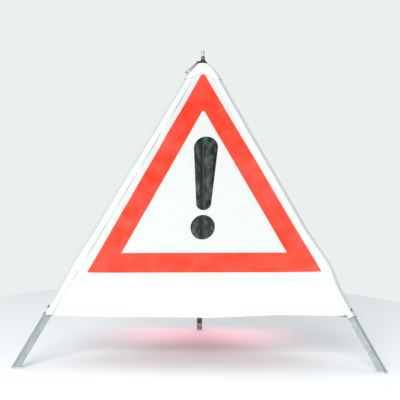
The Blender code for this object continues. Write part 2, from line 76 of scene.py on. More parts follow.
JOINT = {joint["name"]: joint for joint in frame["joints"]}
PIVOT = {side: Vector(JOINT[f"leg_fold_{side}"]["pos_m"]) for side in LEG_SIDES}
ACROSS = {side: Vector(JOINT[f"leg_fold_{side}"]["axis"]).normalized() for side in LEG_SIDES}
ROD_LOW, ROD_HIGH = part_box("central_rod")
CENTRE = Vector(((ROD_LOW.x + ROD_HIGH.x) / 2, (ROD_LOW.y + ROD_HIGH.y) / 2, 0.0))
PIN_R = (PIVOT["rear"] - CENTRE).xy.length
PIN_Z = PIVOT["rear"].z

CORNER_OUT = 0.0108              # the sleeve's outer face and side, from the leg's pivot line
CORNER_SIDE = 0.0118
HEM_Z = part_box("cover_front")[0].z
COVER_TOP_Z = 0.9000             # tucked under the tip
SKIRT_LOW, SKIRT_HIGH = (corner.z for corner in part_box("skirt_front"))
TIP_LOW = 0.8790                 # at the corners; its edge is higher between them
TIP_RISE = 0.0155
TIP_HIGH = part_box("cover_crown")[1].z
HUB_TOP_R = 0.0200               # the tip closes round the cap's seat

# ---------------------------------------------------------------- fabric
PANEL = 0.0008                   # thickness of the coated fabric
LIFT = 0.0007                    # the panel's middle surface, out from the sleeves' corners
FLAP = 0.016                     # a sleeve's seam allowance on a face
SKIRT_LIFT = 0.0012              # the skirt, out from the panel
STILL = 0.018                    # this far from a leg, pull() reaches 1
HELD_BY_TIP = 0.888              # above this, pull() is 0
GRID_ACROSS = 81                 # points of a face's simulated grid
GRID_UP = 95
SIM_FRAMES = 24
SLACK = 0.004                    # how much larger the fabric is than the space between the legs, as a share
LARGEST_MOVE = 0.009             # the fabric's belly stays within this
HELD_EDGE, HELD_TOP = 0.985, 0.893   # the simulation holds the fabric beyond this share and height
FOLD_RIDGE = 0.0006              # the crease that storing has left down each face's middle
HEM_CLIMB = 0.0100               # the front hem is this much higher on the right half
HEM_CLIMB_OVER = 0.26            # and reaches it this far from the middle
SKIRT_INSET_LOW, SKIRT_INSET_HIGH = 0.026, 0.005   # the bright band's ends, in from the face's edge
SKIRT_CORNER = 0.016
SKIRT_THICK = 0.0009


def corner_radius(z):
    """Distance of the sleeves' outer face from the centre line, at a height."""
    return PIN_R + CORNER_OUT / cos(LEG_TILT) + (PIN_Z - z) * LEG_SLOPE


def face_distance(z):
    return corner_radius(z) / 2 + CORNER_SIDE * cos(THIRTY)


def half_width(z):
    return corner_radius(z) * cos(THIRTY) - CORNER_SIDE / 2


class Face:
    """One side of the pyramid: a leaning plane with a field of small moves out from it."""

    def __init__(self, name, seed):
        self.name = name
        turn = FACE_TURN[name]
        self.along = np.array((cos(turn), sin(turn), 0.0))
        self.out = np.array((sin(turn), -cos(turn), 0.0))
        self.normal = self.out * cos(FACE_LEAN) + np.array((0, 0, sin(FACE_LEAN)))
        self.seed = seed
        self.z = np.linspace(HEM_Z, COVER_TOP_Z, GRID_UP)
        self.u = np.linspace(-1, 1, GRID_ACROSS)
        self.field = np.zeros((GRID_UP, GRID_ACROSS))

    def flat(self, x, z, lift=0.0):
        """Points of the plane, lift metres outside the sleeves' corners. x and z are arrays."""
        x, z = np.asarray(x, float), np.asarray(z, float)
        level = np.array(CENTRE) + np.multiply.outer(x, self.along)
        level = level + np.multiply.outer(face_distance(z), self.out)
        level[..., 2] = z
        return level + np.multiply.outer(np.zeros_like(x) + lift, self.normal)

    def move(self, x, z):
        """The field at points, by linear steps between its grid points."""
        u = np.clip(x / half_width(np.asarray(z)), -1, 1)
        i = np.clip((u + 1) / 2 * (GRID_ACROSS - 1), 0, GRID_ACROSS - 1.001)
        j = np.clip((z - self.z[0]) / (self.z[-1] - self.z[0]) * (GRID_UP - 1), 0, GRID_UP - 1.001)
        i0, j0 = i.astype(int), j.astype(int)
        fi, fj = i - i0, j - j0
        f = self.field
        low = f[j0, i0] * (1 - fi) + f[j0, i0 + 1] * fi
        high = f[j0 + 1, i0] * (1 - fi) + f[j0 + 1, i0 + 1] * fi
        return low * (1 - fj) + high * fj

    def climb(self, x, z):
        """The front face's hem is sewn higher on its right half; the other hems are level."""
        if self.name != "front":
            return x, z
        step = np.clip(x / HEM_CLIMB_OVER, 0, 1)
        share = np.clip((SKIRT_HIGH - z) / (SKIRT_HIGH - SKIRT_LOW), 0, 1)
        risen = z + HEM_CLIMB * step * step * (3 - 2 * step) * share
        return x * half_width(risen) / half_width(z), risen

    def at(self, x, z, lift=0.0):
        x, z = np.broadcast_arrays(np.asarray(x, float), np.asarray(z, float))
        lift = LIFT + lift + self.move(x, z)
        return self.flat(*self.climb(x, z), lift)


def quads(rows, columns, offset=0):
    """Faces of a grid of points, numbered row by row."""
    return [(offset + j * columns + i, offset + j * columns + i + 1,
             offset + (j + 1) * columns + i + 1, offset + (j + 1) * columns + i)
            for j in range(rows - 1) for i in range(columns - 1)]


def mesh_object(name, points, faces, smooth=True):
    mesh = bpy.data.meshes.new(name)
    mesh.from_pydata(np.asarray(points, float).reshape(-1, 3).tolist(), [], faces)
    mesh.validate()
    mesh.update()
    if smooth:
        mesh.shade_smooth()
    made = bpy.data.objects.new(name, mesh)
    bpy.context.scene.collection.objects.link(made)
    return made


def simulate(face):
    """Hangs the face's fabric between its legs under gravity, and keeps how far it moves out of plane."""
    u, z = np.meshgrid(face.u, face.z)
    x = u * half_width(z)
    start = face.flat(x, z)
    rng = np.random.default_rng(face.seed)
    bumps = np.zeros_like(x)
    for _ in range(14):
        size, wide, high, phase = rng.normal(), rng.uniform(8, 40), rng.uniform(8, 40), rng.uniform(0, 6)
        bumps += size * np.sin(wide * x + high * z + phase)
    start = start + 0.0008 * bumps[..., None] * face.normal
    cloth = mesh_object(f"sim_{face.name}", start, quads(GRID_UP, GRID_ACROSS))
    pins = cloth.vertex_groups.new(name="pins")
    held = ((np.abs(u) > HELD_EDGE) | (z > HELD_TOP)).ravel()
    pins.add(np.flatnonzero(held).tolist(), 1.0, "REPLACE")
    modifier = cloth.modifiers.new("cloth", "CLOTH")
    settings = modifier.settings
    settings.quality = 8
    settings.mass = 0.35
    settings.tension_stiffness = 40
    settings.compression_stiffness = 20
    settings.shear_stiffness = 20
    settings.bending_stiffness = 1.5
    settings.tension_damping = 15
    settings.air_damping = 2
    settings.vertex_group_mass = "pins"
    settings.shrink_min = -SLACK
    modifier.point_cache.frame_end = SIM_FRAMES
    modifier.collision_settings.use_collision = False
    for step in range(1, SIM_FRAMES + 1):
        bpy.context.scene.frame_set(step)
    graph = bpy.context.evaluated_depsgraph_get()
    moved = np.array([v.co for v in cloth.evaluated_get(graph).data.vertices]).reshape(start.shape)
    bpy.data.objects.remove(cloth, do_unlink=True)
    bpy.context.scene.frame_set(1)
    return ((moved - face.flat(x, z)) * face.normal).sum(-1)


def hang(face):
    """Sets the face's field: the simulated belly, faded out at the edges, and the crease of storing."""
    u, z = np.meshgrid(face.u, face.z)
    field = simulate(face)
    edge = np.clip((1 - np.abs(u)) * half_width(z) / 0.02, 0, 1)
    edge = edge * np.clip((COVER_TOP_Z - 0.004 - z) / 0.02, 0, 1)
    field = LARGEST_MOVE * np.tanh(field / LARGEST_MOVE) * edge
    fold = np.clip(1 - np.abs(u * half_width(z)) / 0.016, 0, 1)
    face.field = field + FOLD_RIDGE * fold * edge


FACES = {name: Face(name, seed) for seed, name in enumerate(FACE_TURN, start=3)}
for face in FACES.values():
    hang(face)


# ---------------------------------------------------------------- materials
class Shader:
    """A material whose node tree is filled one node at a time."""

    def __init__(self, name):
        self.material = bpy.data.materials.new(name)
        self.material.use_nodes = True
        self.tree = self.material.node_tree
        self.tree.nodes.clear()
        self.output = self.tree.nodes.new("ShaderNodeOutputMaterial")

    def put(self, socket, value):
        if isinstance(value, bpy.types.NodeSocket):
            self.tree.links.new(value, socket)
        elif hasattr(value, "__len__") and socket.type == "RGBA" and len(value) == 3:
            socket.default_value = (*value, 1.0)
        else:
            socket.default_value = value

    def add(self, kind, inputs=None, **settings):
        made = self.tree.nodes.new("ShaderNode" + kind)
        for key, value in settings.items():
            setattr(made, key, value)
        for key, value in (inputs or {}).items():
            self.put(made.inputs[key], value)
        return made

    def math(self, operation, *values):
        made = self.add("Math", operation=operation)
        for socket, value in zip(made.inputs, values):
            self.put(socket, value)
        return made.outputs[0]

    def mix(self, share, a, b):
        made = self.add("Mix", {0: share, 6: a, 7: b}, data_type="RGBA")
        return made.outputs[2]

    def stretch(self, where, x_scale, y_scale):
        made = self.add("VectorMath", {0: where, 1: (x_scale, y_scale, 1.0)}, operation="MULTIPLY")
        return made.outputs[0]

    def noise(self, where, scale, detail=3.0, roughness=0.55):
        inputs = {"Vector": where, "Scale": scale, "Detail": detail, "Roughness": roughness}
        made = self.add("TexNoise", inputs)
        return made.outputs["Fac"]

    def ramp(self, value, low, high, first=0.0, last=1.0):
        inputs = {"Value": value, "From Min": low, "From Max": high, "To Min": first, "To Max": last}
        made = self.add("MapRange", inputs)
        return made.outputs[0]

    def bump(self, height, distance, strength=1.0, normal=None):
        inputs = {"Height": height, "Distance": distance, "Strength": strength}
        if normal is not None:
            inputs["Normal"] = normal
        return self.add("Bump", inputs).outputs[0]

    def principled(self, **inputs):
        names = {key: key.replace("_", " ").title().replace("Ior", "IOR") for key in inputs}
        return self.add("BsdfPrincipled", {names[key]: value for key, value in inputs.items()})

    def finish(self, shader):
        self.tree.links.new(shader.outputs[0], self.output.inputs[0])
        return self.material


# The print, in metres along a face and up its slope.
PRINT_HALF = 0.3475              # half the red triangle's base, out to its sharp corner
PRINT_BASE = 0.280 * UP_SLOPE
PRINT_APEX = 0.904 * UP_SLOPE
PRINT_BLUNT = 0.8925 * UP_SLOPE  # its top corner is cut off here
BORDER = 0.0605                  # width of the red
INNER_BLUNT = 0.005              # the white field's top is this much lower than a sharp corner
BAR_LOW, BAR_HIGH = 0.4865 * UP_SLOPE, 0.658 * UP_SLOPE
BAR_LOW_R, BAR_HIGH_R = 0.0230, 0.0375
DOT_AT, DOT_R = 0.4135 * UP_SLOPE, 0.0368
DOT_STRETCH = 1.05               # taller than wide
FOLD_AT = -0.0065                # the fold line across the mark, in pattern x
MARK_LEAN = 0.045                # the mark is printed slightly askew, about its middle
MARK_SHIFT = 0.0034
MARK_MIDDLE = 0.60
PRINT_SHIFT = {"front": 0.0065, "right": -0.003, "left": 0.004}   # how far the print is off the middle
PRINT_TURN = {"front": radians(0.9), "right": radians(-0.3), "left": radians(0.4)}
PRINT_MIDDLE = 0.60              # it is turned about this height up the slope

WHITE = (0.745, 0.768, 0.756)
# The lighter red here is painted sheen, the patchy shine of the red print.
RED, RED_SHEEN = (0.90, 0.042, 0.012), (0.90, 0.085, 0.050)
# The lighter black here is painted sheen: the glint of light on wrinkles in the glossy black print.
BLACK, BLACK_SHEEN = (0.006, 0.011, 0.010), (0.092, 0.120, 0.103)
RED_GLOW = (1.0, 0.09, 0.08)     # light that has come through the red
EDGE_SOFT = 0.0004               # half the width of the print's edge


def inside(shader, distance):
    """1 where a signed distance is below zero, with an edge as soft as ink."""
    return shader.ramp(distance, EDGE_SOFT, -EDGE_SOFT)


def print_masks(shader, x, y):
    """Red and black shares of the print at pattern coordinates."""
    height = PRINT_APEX - PRINT_BASE
    long = (height ** 2 + PRINT_HALF ** 2) ** 0.5
    aside = shader.math("ABSOLUTE", x)
    edge = shader.math("MULTIPLY_ADD", aside, height / long,
                       shader.math("MULTIPLY", shader.math("SUBTRACT", y, PRINT_APEX), PRINT_HALF / long))
    below = shader.math("SUBTRACT", PRINT_BASE, y)
    outer = shader.math("SMOOTH_MAX", edge, below, 0.005)
    outer = shader.math("SMOOTH_MAX", outer, shader.math("SUBTRACT", y, PRINT_BLUNT), 0.004)
    inner = shader.math("MAXIMUM", shader.math("ADD", edge, BORDER), shader.math("ADD", below, BORDER))
    inner_top = PRINT_APEX - BORDER * long / PRINT_HALF - INNER_BLUNT
    inner = shader.math("SMOOTH_MAX", inner, shader.math("SUBTRACT", y, inner_top), 0.003)
    red = shader.math("MULTIPLY", inside(shader, outer), shader.ramp(inner, -EDGE_SOFT, EDGE_SOFT))
    askew = shader.math("MULTIPLY_ADD", y, MARK_LEAN, MARK_SHIFT - MARK_LEAN * MARK_MIDDLE)
    x = shader.math("SUBTRACT", x, askew)
    nearest = shader.math("MINIMUM", shader.math("MAXIMUM", y, BAR_LOW), BAR_HIGH)
    radius = shader.ramp(nearest, BAR_LOW, BAR_HIGH, BAR_LOW_R, BAR_HIGH_R)
    offset = shader.math("SUBTRACT", y, nearest)
    reach = shader.math("SQRT", shader.math("MULTIPLY_ADD", x, x, shader.math("MULTIPLY", offset, offset)))
    bar = inside(shader, shader.math("SUBTRACT", reach, radius))
    rise = shader.math("DIVIDE", shader.math("SUBTRACT", y, DOT_AT), DOT_STRETCH)
    reach = shader.math("SQRT", shader.math("MULTIPLY_ADD", x, x, shader.math("MULTIPLY", rise, rise)))
    dot = inside(shader, shader.math("SUBTRACT", reach, DOT_R))
    return red, shader.math("MAXIMUM", bar, dot)


def weave(shader, uv, pitch):
    """Height of a plain weave: threads over and under each other, pitch metres apart."""
    split = shader.add("SeparateXYZ", {0: uv})
    across = shader.math("SINE", shader.math("MULTIPLY", split.outputs[0], 2 * pi / pitch))
    along = shader.math("SINE", shader.math("MULTIPLY", split.outputs[1], 2 * pi / pitch))
    return shader.math("MULTIPLY", across, along)


def coated_fabric(name, printed, white=WHITE, see_through=0.42):
    """Woven fabric under a soft-gloss coating. It lets some light through, tinted by the print."""
    shader = Shader(name)
    uv = shader.add("UVMap", uv_map="pattern").outputs[0]
    split = shader.add("SeparateXYZ", {0: uv})
    x, y = split.outputs[0], split.outputs[1]
    soiled = shader.ramp(shader.noise(uv, 9.0, 5.0, 0.6), 0.42, 0.75)
    white_tone = shader.mix(shader.math("MULTIPLY", soiled, 0.22), white, tuple(0.90 * c for c in white))
    colour = white_tone
    glow = tuple(0.60 * c for c in white)
    roughness = shader.ramp(shader.noise(uv, 30.0, 4.0), 0.3, 0.7, 0.34, 0.46)
    if printed:
        red, black = print_masks(shader, x, y)
        # Random patches of lighter red: painted sheen.
        red_sheen = shader.ramp(shader.noise(uv, 14.0, 2.0, 0.5), 0.35, 0.68)
        red_tone = shader.mix(red_sheen, RED, RED_SHEEN)
        colour = shader.mix(red, colour, red_tone)
        glow = shader.mix(red, glow, RED_GLOW)
        # Painted sheen on the black mark: lighter blotches drawn out up and down, less of them along the
        # fold line, and a painted highlight streak just right of the fold.
        stretched = shader.stretch(uv, 46.0, 24.0)
        painted_sheen = shader.ramp(shader.noise(stretched, 1.0, 4.0, 0.6), 0.42, 0.68)
        from_fold = shader.math("ABSOLUTE", shader.math("SUBTRACT", x, FOLD_AT))
        painted_sheen = shader.math("MULTIPLY", painted_sheen, shader.ramp(from_fold, 0.003, 0.010, 0.15, 1.0))
        from_sheen_streak = shader.math("ABSOLUTE", shader.math("SUBTRACT", x, FOLD_AT + 0.006))
        sheen_streak = shader.ramp(from_sheen_streak, 0.0035, 0.001)
        painted_sheen = shader.math("MAXIMUM", painted_sheen, shader.math("MULTIPLY", sheen_streak, 0.45))
        black_tone = shader.mix(painted_sheen, BLACK, BLACK_SHEEN)
        colour = shader.mix(black, colour, black_tone)
        glow = shader.mix(black, glow, BLACK)
    stretched = shader.stretch(uv, 34.0, 7.0)
    normal = shader.bump(shader.noise(stretched, 1.0, 3.0, 0.5), 0.0012, 0.5)
    normal = shader.bump(shader.noise(uv, 26.0, 3.0, 0.5), 0.0012, 0.4, normal)
    normal = shader.bump(weave(shader, uv, 0.0011), 0.00005, 0.6, normal)
    surface = shader.principled(base_color=colour, roughness=roughness, coat_weight=0.03,
                                coat_roughness=0.25, specular_ior_level=0.16, normal=normal)
    through = shader.add("BsdfTranslucent", {"Color": glow, "Normal": normal})
    both = shader.add("MixShader", {0: see_through})
    shader.tree.links.new(surface.outputs[0], both.inputs[1])
    shader.tree.links.new(through.outputs[0], both.inputs[2])
    return shader.finish(both)


def thread_material():
    shader = Shader("thread")
    where = shader.add("TexCoord").outputs["Object"]
    inputs = {"Vector": where, "Scale": 420.0, "Distortion": 1.5}
    twist = shader.add("TexWave", inputs, bands_direction="DIAGONAL")
    normal = shader.bump(twist.outputs[1], 0.0002, 0.6)
    tone = shader.mix(shader.noise(where, 300.0), (0.74, 0.77, 0.76), (0.84, 0.86, 0.85))
    return shader.finish(shader.principled(base_color=tone, roughness=0.7, sheen_weight=0.3, normal=normal))


def metal(name, dark, light, roughness, metallic, scale=90.0, bump=0.0002, spangle=0.0):
    """Fine grain between two tones. spangle is the share of flat crystals, as zinc shows."""
    shader = Shader(name)
    where = shader.add("TexCoord").outputs["Object"]
    cells = shader.add("TexVoronoi", {"Vector": where, "Scale": scale}, feature="F1")
    flake = shader.add("SeparateColor", {0: cells.outputs["Color"]}).outputs[0]
    grain = shader.noise(where, scale * 2.2, 5.0, 0.6)
    flakes = shader.math("MULTIPLY", flake, spangle)
    share = shader.math("ADD", flakes, shader.math("MULTIPLY", grain, 1 - spangle))
    tone = shader.mix(share, dark, light)
    rough = shader.ramp(grain, 0.25, 0.75, roughness - 0.08, roughness + 0.08)
    normal = shader.bump(grain, bump, 0.35)
    surface = shader.principled(base_color=tone, roughness=rough, metallic=metallic, normal=normal)
    return shader.finish(surface)


def moulded(name, dark, light, roughness):
    shader = Shader(name)
    where = shader.add("TexCoord").outputs["Object"]
    grain = shader.noise(where, 900.0, 2.0)
    tone = shader.mix(shader.noise(where, 60.0, 4.0), dark, light)
    rough = shader.ramp(grain, 0.3, 0.7, roughness - 0.06, roughness + 0.06)
    normal = shader.bump(grain, 0.0001, 0.4)
    return shader.finish(shader.principled(base_color=tone, roughness=rough, normal=normal))


PRINTED = coated_fabric("printed_fabric", True)
BAND = coated_fabric("bright_band", False, white=(0.93, 0.94, 0.94), see_through=0.40)
# The sleeves are the faces' white fabric, made darker here: painted shade.
PLAIN = coated_fabric("sleeve_fabric", False, white=(0.545, 0.585, 0.573), see_through=0.12)
TIP = coated_fabric("tip_fabric", False, white=(0.59, 0.62, 0.61), see_through=0.12)
THREAD = thread_material()
GALVANISED = metal("galvanised", (0.24, 0.275, 0.28), (0.38, 0.42, 0.425), 0.46, 0.55, 70.0, 0.0002, 0.5)
STEEL = metal("zinc_plated", (0.17, 0.178, 0.185), (0.30, 0.31, 0.315), 0.36, 0.92)
# Dark steel: the rod's stop collar is blackened; on the rivets its darkness is painted shade, where the
# sleeve's end shades the leg.
DARK_STEEL_AND_SHADE = metal("blackened", (0.03, 0.033, 0.036), (0.09, 0.095, 0.10), 0.42, 0.7)
CAST = metal("cast_alloy", (0.36, 0.37, 0.38), (0.50, 0.51, 0.52), 0.55, 0.85, 160.0, 0.0006)
BLACK_PLASTIC = moulded("black_plastic", (0.006, 0.007, 0.008), (0.014, 0.016, 0.017), 0.45)
GREY_PLASTIC = moulded("grey_plastic", (0.30, 0.36, 0.36), (0.40, 0.46, 0.46), 0.5)


# ---------------------------------------------------------------- cover pieces
def pull(x, z):
    """0 at a face's fold line and under the tip, rising to 1 near the leg."""
    reach = np.maximum(half_width(z) - STILL, 0.012)
    return np.abs(x) / reach * np.clip((HELD_BY_TIP - z) / 0.03, 0, 1)


def set_uv(made, uv):
    """Stores one UV in metres for each vertex, as the layer that the fabric materials read."""
    layer = made.data.uv_layers.new(name="pattern")
    index = np.zeros(len(made.data.loops), int)
    made.data.loops.foreach_get("vertex_index", index)
    layer.data.foreach_set("uv", uv[index].astype(np.float32).ravel())


def set_pattern(made, face_name, x, z):
    """UVs along the face and up its slope. The print is a little off its face's middle, and turned."""
    x, y = x - PRINT_SHIFT.get(face_name, 0.0), z * UP_SLOPE - PRINT_MIDDLE
    turn = PRINT_TURN.get(face_name, 0.0)
    set_uv(made, np.stack([x * cos(turn) + y * sin(turn), y * cos(turn) - x * sin(turn) + PRINT_MIDDLE], -1))


def thicken(made, thickness):
    """Gives a sheet its thickness. Its narrow rims don't bend the shading of its broad sides."""
    shell = made.modifiers.new("fabric", "SOLIDIFY")
    shell.thickness = thickness
    shell.offset = 0.0
    made.modifiers.new("edges shade flat", "WEIGHTED_NORMAL")


def blend_half(made, x, z):
    """Lays a half face's points out flat by pull() and height, bakes its transform, and puts the points
    back.
    """
    final = np.array([v.co for v in made.data.vertices], np.float32)
    flat = np.stack([pull(x, z), z, np.zeros_like(z)], -1).astype(np.float32)
    made.data.vertices.foreach_set("co", flat.ravel())
    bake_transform(made)
    made.data.vertices.foreach_set("co", final.ravel())
    made.data.update()


def half_rows(face, sign, rows, columns, low, high):
    """x and z of a half face's grid, from the fold line to the leg."""
    t = np.linspace(0, 1, columns)
    z = np.linspace(low, high, rows)
    tt, zz = np.meshgrid(t, z)
    return sign * tt * half_width(zz), zz


def make_cover_half(face, sign):
    rows, columns = 110, 48
    x, z = half_rows(face, sign, rows, columns, HEM_Z, COVER_TOP_Z)
    faces = quads(rows, columns)
    if sign < 0:
        faces = [f[::-1] for f in faces]
    side = "left" if sign < 0 else "right"
    made = mesh_object(f"cover_{face.name}_{side}_half", face.at(x, z), faces)
    made.data.materials.append(PRINTED)
    set_pattern(made, face.name, x.ravel(), z.ravel())
    thicken(made, PANEL)
    blend_half(made, x.ravel(), z.ravel())
    return made


def skirt_half_width(z):
    """The bright band's side edge: straight, with a round upper corner."""
    share = np.clip((z - SKIRT_LOW) / (SKIRT_HIGH - SKIRT_LOW), 0, 1)
    straight = half_width(z) - (SKIRT_INSET_LOW + share * (SKIRT_INSET_HIGH - SKIRT_INSET_LOW))
    down = np.clip((z - (SKIRT_HIGH - SKIRT_CORNER)) / SKIRT_CORNER, 0, 1)
    return straight - SKIRT_CORNER * (1 - np.sqrt(1 - down ** 2))


def make_skirt_half(face, sign):
    """The band hangs slightly fuller than the panel."""
    columns = 46
    z = np.concatenate([np.linspace(SKIRT_LOW, SKIRT_HIGH - SKIRT_CORNER, 18)[:-1],
                        SKIRT_HIGH - SKIRT_CORNER + SKIRT_CORNER * np.sin(np.linspace(0, pi / 2, 12))])
    t, zz = np.meshgrid(np.linspace(0, 1, columns), z)
    x = t * skirt_half_width(zz)
    share = (zz - SKIRT_LOW) / (SKIRT_HIGH - SKIRT_LOW)
    loose = 0.0022 * np.sin(np.clip(share, 0, 1) * pi) * np.clip((1 - t) / 0.06, 0, 1)
    places = zip((x / 0.12).ravel(), (zz / 0.12).ravel())
    ripple = np.array([noise.noise(Vector((3.1 * a + 7 * face.seed, 9 * b, sign))) for a, b in places])
    lift = SKIRT_LIFT + loose * (1 + 0.8 * ripple.reshape(x.shape))
    faces = quads(len(z), columns)
    if sign < 0:
        faces = [f[::-1] for f in faces]
    side = "left" if sign < 0 else "right"
    made = mesh_object(f"skirt_{face.name}_{side}_half", face.at(sign * x, zz, lift), faces)
    made.data.materials.append(BAND)
    set_pattern(made, face.name, (sign * x).ravel(), zz.ravel())
    thicken(made, SKIRT_THICK)
    blend_half(made, (sign * x).ravel(), zz.ravel())
    return made


def thread_run(points, normals, length=0.0042, gap=0.0018, radius=0.00028):
    """Stitches along a line of points: short rounded threads that dip into the fabric at both ends."""
    points, normals = np.asarray(points, float), np.asarray(normals, float)
    along = np.concatenate([[0], np.cumsum(np.linalg.norm(np.diff(points, axis=0), axis=1))])
    verts, faces = [], []
    start = 0.001
    while start + length < along[-1]:
        at = start + length * np.array((0.0, 0.15, 0.5, 0.85, 1.0))
        line = np.stack([np.interp(at, along, points[:, k]) for k in range(3)], -1)
        up = np.stack([np.interp(at, along, normals[:, k]) for k in range(3)], -1)
        ahead = line[-1] - line[0]
        ahead /= np.linalg.norm(ahead)
        aside = np.cross(up, ahead)
        height = np.array((-0.4, 0.5, 0.9, 0.5, -0.4))[:, None] * radius
        size = np.array((0.6, 1.0, 1.0, 1.0, 0.6))[:, None] * radius
        base = len(verts)
        for a in np.linspace(0, 2 * pi, 6, endpoint=False):
            verts.extend(line + up * (height + size * sin(a)) + aside * size * cos(a))
        for k in range(6):
            n = (k + 1) % 6
            for j in range(4):
                here, beside = base + k * 5 + j, base + n * 5 + j
                faces.append((here, beside, beside + 1, here + 1))
        faces.append(tuple(base + k * 5 for k in reversed(range(6))))
        faces.append(tuple(base + k * 5 + 4 for k in range(6)))
        start += length + gap
    return verts, faces


def joined(runs):
    """Several runs of stitches as one list of points and faces."""
    verts, faces = [], []
    for run_verts, run_faces in runs:
        offset = len(verts)
        verts.extend(run_verts)
        faces.extend(tuple(i + offset for i in f) for f in run_faces)
    return verts, faces


def make_skirt_stitches(face, sign):
    """Two rows of stitches round the band, on one half of a face."""
    runs = []
    for inset in (0.003, 0.007):
        top = np.linspace(0.0, float(skirt_half_width(SKIRT_HIGH - 0.001)) - 0.002, 60)
        runs.append(np.stack([top, np.full_like(top, SKIRT_HIGH - inset)], -1))
        z = np.linspace(SKIRT_LOW + 0.002, SKIRT_HIGH - SKIRT_CORNER, 30)
        runs.append(np.stack([skirt_half_width(z) - inset, z], -1))
    hem = np.linspace(0.0, float(skirt_half_width(SKIRT_LOW)) - 0.004, 80)
    for up in (0.009, 0.013):
        runs.append(np.stack([hem, np.full_like(hem, SKIRT_LOW + up)], -1))
    lift = SKIRT_LIFT + 0.0006
    made_runs = []
    for run in runs:
        x, z = sign * run[:, 0], run[:, 1]
        points = face.at(x, z, lift)
        made_runs.append(thread_run(points, np.tile(face.normal, (len(points), 1))))
    verts, faces = joined(made_runs)
    side = "left" if sign < 0 else "right"
    made = mesh_object(f"skirt_{face.name}_{side}_stitches", verts, faces)
    made.data.materials.append(THREAD)
    inward = np.asarray(verts) - np.array(CENTRE)
    x = inward @ face.along
    blend_half(made, x, np.asarray(verts)[:, 2])
    return made


for face in FACES.values():
    halves = [make_cover_half(face, sign) for sign in (-1, 1)]
    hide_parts(f"cover_{face.name}")
    bands = [make_skirt_half(face, sign) for sign in (-1, 1)]
    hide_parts(f"skirt_{face.name}")
    for sign in (-1, 1):
        make_skirt_stitches(face, sign)


# ---------------------------------------------------------------- sleeves
SLEEVE_TOP = 0.005               # from the pivot down the leg
SLEEVE_END = 0.876
RIVET_AT = 0.856                 # from the pivot, like the sleeve's ends
BULGE_Z, BULGE_HALF = 0.300, 0.075
BULGE = {"front_left": 0.004, "front_right": 0.012, "rear": 0.004}   # how loose each sleeve is low down
SECOND_BULGE_Z, SECOND_BULGE = 0.52, 0.0022
RIPPLE = 0.0012
UNDER_RIPPLE = 0.0004            # the seam allowances are nearly flat


def leg_axes(side):
    """Unit vectors of a leg: outward normal, across, and down along it."""
    across = np.array(ACROSS[side])
    radial = np.array(ACROSS[side].cross(Vector((0, 0, 1))))
    normal = radial * cos(LEG_TILT) + np.array((0, 0, sin(LEG_TILT)))
    down = radial * sin(LEG_TILT) - np.array((0, 0, cos(LEG_TILT)))
    return normal, across, down


def b_spline(control, count):
    """Points of a uniform cubic B-spline that starts and ends on its end controls. control is (n, 3)."""
    padded = np.concatenate([[control[0]] * 2, control, [control[-1]] * 2])
    spans = len(padded) - 3
    t = np.linspace(0, spans, count)
    i = np.minimum(t.astype(int), spans - 1)
    f = (t - i)[:, None]
    a, b, c, d = (padded[i + k] for k in range(4))
    return ((1 - f) ** 3 * a + (3 * f ** 3 - 6 * f ** 2 + 4) * b
            + (-3 * f ** 3 + 3 * f ** 2 + 3 * f + 1) * c + f ** 3 * d) / 6


def sleeve_section(side, s):
    """The sleeve's outline across a leg, s metres down it: a seam allowance on one face, over the
    leg's web, and a seam allowance on the next face."""
    normal, across, down = leg_axes(side)
    here = np.array(PIVOT[side]) + down * s
    z = here[2]
    bulge = BULGE[side] * np.exp(-((z - BULGE_Z) / BULGE_HALF) ** 2)
    bulge += SECOND_BULGE * np.exp(-((z - SECOND_BULGE_Z) / 0.08) ** 2)
    bulge += RIPPLE * noise.noise(Vector((LEG_SIDES.index(side) * 5.0, 0.0, s * 16)))
    bulge *= np.clip((RIVET_AT - 0.03 - s) / 0.10, 0, 1)
    points = []
    for sign in (-1, 1):
        beside = [f for f in FACES.values() if side in FACE_LEGS[f.name]]
        face = next(f for f in beside if sign * (f.out @ across) > 0)
        towards = face.along if FACE_LEGS[face.name][0] == side else -face.along
        inward = towards - (towards @ down) * down
        inward /= np.linalg.norm(inward)
        corner = here + normal * CORNER_OUT + across * (sign * CORNER_SIDE)
        lift = LIFT + PANEL + 0.0001
        allowance = min(FLAP, 0.006 + 0.2 * max(s - SLEEVE_TOP, 0.0))
        ripple = UNDER_RIPPLE * noise.noise(Vector((sign * 3.0, LEG_SIDES.index(side) * 7.0, s * 30)))
        outer = corner + face.normal * (lift + max(ripple, 0.0))
        edge = [outer + inward * allowance * k for k in (1.0, 0.97, 0.7, 0.35)]
        edge.append(corner + face.normal * (lift + 0.4 * bulge))
        edge.append(corner + normal * (0.0009 + 0.8 * bulge) - across * sign * 0.001)
        points.append(edge)
    middle = here + normal * (CORNER_OUT + bulge + 0.0001)
    left, right = points
    flat = [middle - across * 0.006, middle, middle + across * 0.006]
    return b_spline(np.array([*left, *flat, *right[::-1]]), 34)


